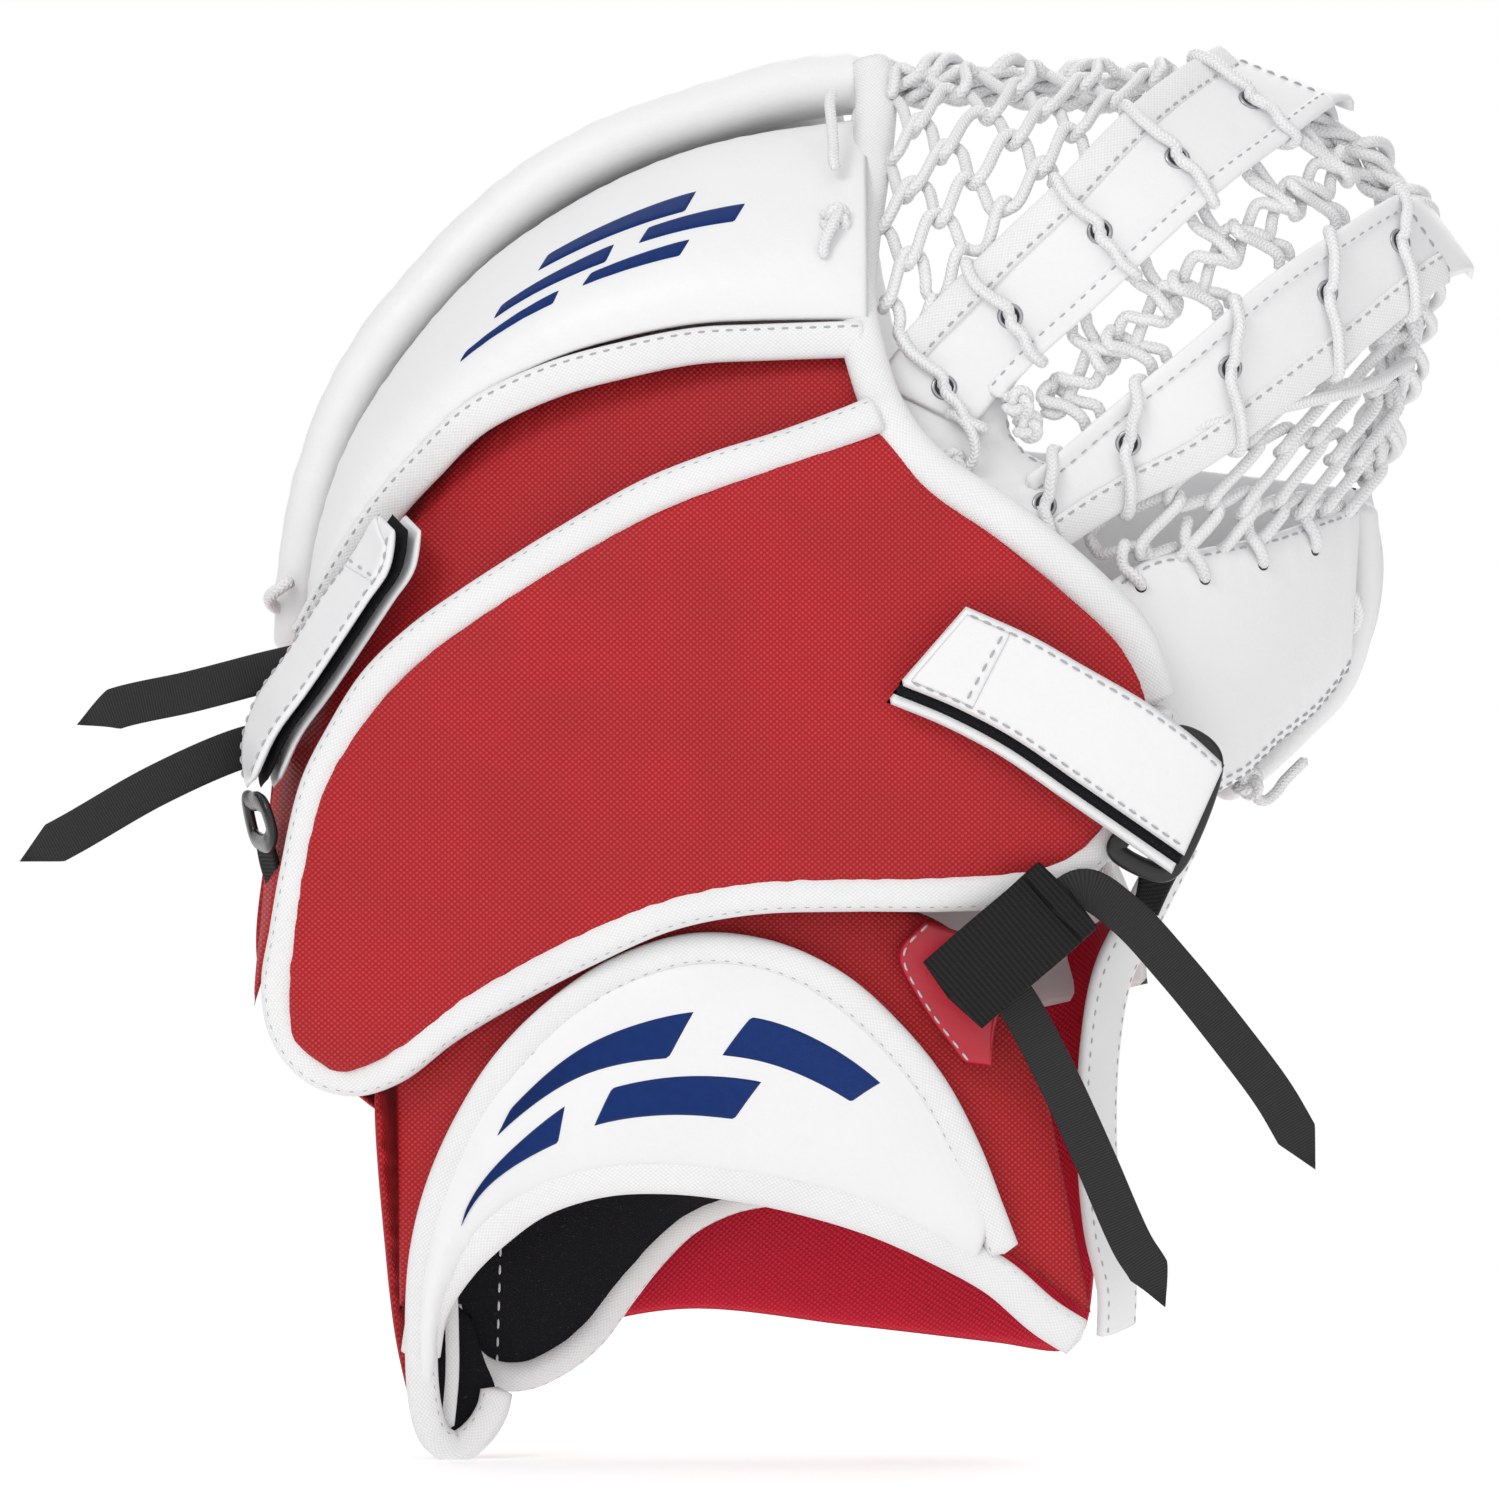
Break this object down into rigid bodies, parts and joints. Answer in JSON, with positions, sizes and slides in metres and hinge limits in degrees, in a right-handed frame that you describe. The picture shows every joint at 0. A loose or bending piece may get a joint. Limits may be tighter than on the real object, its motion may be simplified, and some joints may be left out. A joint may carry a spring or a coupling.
{
  "type": "goalie catch glove",
  "caption": "Padded ice hockey goalkeeper's catching glove with a laced pocket, folding thumb side, backhand pad, cuff and closing straps.",
  "frame": {"origin": "the middle of the wearer's grip inside the glove", "axes": "+X to the thumb side, +Y out of the catching face, +Z to the fingertips"},
  "size_m": [0.4325, 0.1276, 0.4233],
  "materials": {
    "white_leather": "smooth white synthetic leather, low sheen",
    "white_nylon": "white woven nylon binding tape",
    "red_nylon": "woven red nylon",
    "bright_red_nylon": "brighter woven red nylon of the cuff's inside",
    "red_vinyl": "smooth red vinyl",
    "black_knit": "black brushed knit lining and loop tape",
    "black_webbing": "coarse black webbing",
    "black_strap": "finely ribbed dark grey strap",
    "black_plastic": "glossy black moulded plastic",
    "white_lace": "braided white lace",
    "stiffener": "moulded stiffening board"
  },
  "bodies": {
    "hand_side": {"palm_finger_side": "white_leather", "finger_edge_roll": "white_leather", "finger_panel": "white_leather", "finger_panel_binding": "white_nylon", "finger_gusset": "red_nylon", "finger_stiffener": "stiffener", "pocket_edge_binding": "white_nylon", "pocket_side_wall": "white_leather", "finger_panel_lace": "white_lace", "backhand_pad": "red_nylon", "backhand_binding": "white_nylon", "hand_liner": "black_knit", "cuff_left_wall": "red_nylon", "cuff_board": "bright_red_nylon", "cuff_edge_band": "white_leather", "wrist_backing_pad": "red_nylon", "wrist_liner": "black_knit", "wrist_liner_binding": "white_nylon", "wrist_hook_patch": "black_knit", "keeper_patch": "red_vinyl", "web_keeper": "black_webbing", "pull_strap_1": "black_strap", "pull_strap_2": "black_strap", "pull_strap_3": "black_strap", "pull_strap_4": "black_strap", "finger_strap_base": "white_leather", "finger_strap_lining": "black_knit", "finger_ring_tab": "black_webbing", "thumb_strap_base": "white_leather", "thumb_strap_lining": "black_knit", "thumb_ring_tab": "black_webbing", "finger_net": "white_lace", "finger_rim": "white_leather", "palm_crease": "white_leather"},
    "wrist_flap": {"wrist_pad": "white_leather", "wrist_pad_binding": "white_nylon", "wrist_pad_hem": "white_nylon"},
    "finger_ring_body": {"finger_ring": "black_plastic"},
    "finger_strap": {"finger_strap_flap": "white_leather"},
    "thumb_ring_body": {"thumb_ring": "black_plastic"},
    "thumb_strap": {"thumb_strap_flap": "white_leather"},
    "pocket": {"upper_pocket_strap": "white_leather", "lower_pocket_strap": "white_leather", "web_root": "white_leather", "web_wall": "white_leather", "middle_net": "white_lace", "tip_rim": "white_leather", "thumb_net": "white_lace", "thumb_rim": "white_leather"},
    "thumb_side": {"thumb_panel": "white_leather", "thumb_edge_roll": "white_leather", "palm_thumb_side": "white_leather", "thumb_stiffener": "stiffener", "thumb_lace_tail": "white_lace"}
  },
  "joints": [
    {"name": "pocket_fold", "type": "hinge", "parent": "hand_side", "child": "pocket", "pos_m": [0.06, 0.014, 0.095], "axis": [-0.4191, 0, 0.908], "range_deg": [0, 22], "deforming": ["finger_net", "finger_rim", "palm_crease"]},
    {"name": "thumb_fold", "type": "hinge", "parent": "pocket", "child": "thumb_side", "pos_m": [0.068, 0.014, 0.095], "axis": [-0.4191, 0, 0.908], "range_deg": [0, 22], "deforming": ["thumb_net", "thumb_rim"]},
    {"name": "wrist_flap_lift", "type": "hinge", "parent": "hand_side", "child": "wrist_flap", "pos_m": [-0.008, -0.033, -0.057], "axis": [-1, 0, 0], "range_deg": [0, 38]},
    {"name": "finger_ring_swing", "type": "hinge", "parent": "hand_side", "child": "finger_ring_body", "pos_m": [-0.146, -0.003, -0.029], "axis": [0.1, -0.995, 0], "range_deg": [0, 20]},
    {"name": "finger_strap_peel", "type": "hinge", "parent": "finger_ring_body", "child": "finger_strap", "pos_m": [-0.149, -0.002, -0.015], "axis": [0.1, -0.995, 0], "range_deg": [0, 110]},
    {"name": "thumb_ring_swing", "type": "hinge", "parent": "hand_side", "child": "thumb_ring_body", "pos_m": [0.119, -0.037, -0.034], "axis": [0.3697, 0, 0.9292], "range_deg": [0, 15]},
    {"name": "thumb_strap_peel", "type": "hinge", "parent": "thumb_ring_body", "child": "thumb_strap", "pos_m": [0.136, -0.042, -0.018], "axis": [0.3903, 0, 0.9207], "range_deg": [0, 110]}
  ],
  "couplings": [
    {"joint": "thumb_fold", "follows": "pocket_fold", "ratio": 1}
  ]
}
